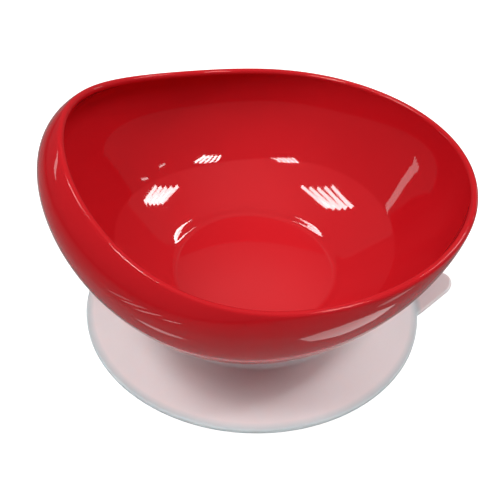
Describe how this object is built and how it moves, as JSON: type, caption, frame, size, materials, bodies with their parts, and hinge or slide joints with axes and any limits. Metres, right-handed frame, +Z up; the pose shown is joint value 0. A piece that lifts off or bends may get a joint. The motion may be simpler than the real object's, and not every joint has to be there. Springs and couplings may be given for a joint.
{
  "type": "suction bowl",
  "caption": "Round scoop bowl with a tall inward-curling wall, held to the table by a wide removable suction pad with a pull tab.",
  "frame": {"origin": "middle of the whole footprint, on the table surface", "axes": "+Z up; +X towards the bowl's low side and the pad's release tab; the high scooping wall is at -X; the object mirrors about the XZ plane"},
  "size_m": [0.167, 0.1606, 0.0903],
  "materials": {
    "red_gloss_plastic": "highly polished injection-moulded red plastic",
    "milky_soft_plastic": "milky translucent flexible plastic with a satin surface"
  },
  "bodies": {
    "pad": {"suction_pad": "milky_soft_plastic"},
    "bowl": {"bowl": "red_gloss_plastic"},
    "tab": {"release_tab": "milky_soft_plastic"}
  },
  "joints": [
    {"name": "bowl_lift", "type": "slide", "parent": "pad", "child": "bowl", "axis": [0, 0, 1], "range_m": [0, 0.04]},
    {"name": "tab_flex", "type": "hinge", "parent": "pad", "child": "tab", "pos_m": [0.067, 0, 0.00105], "axis": [0, -1, 0], "range_deg": [-18, 55], "stiffness_Nm_per_rad": 0.02}
  ]
}
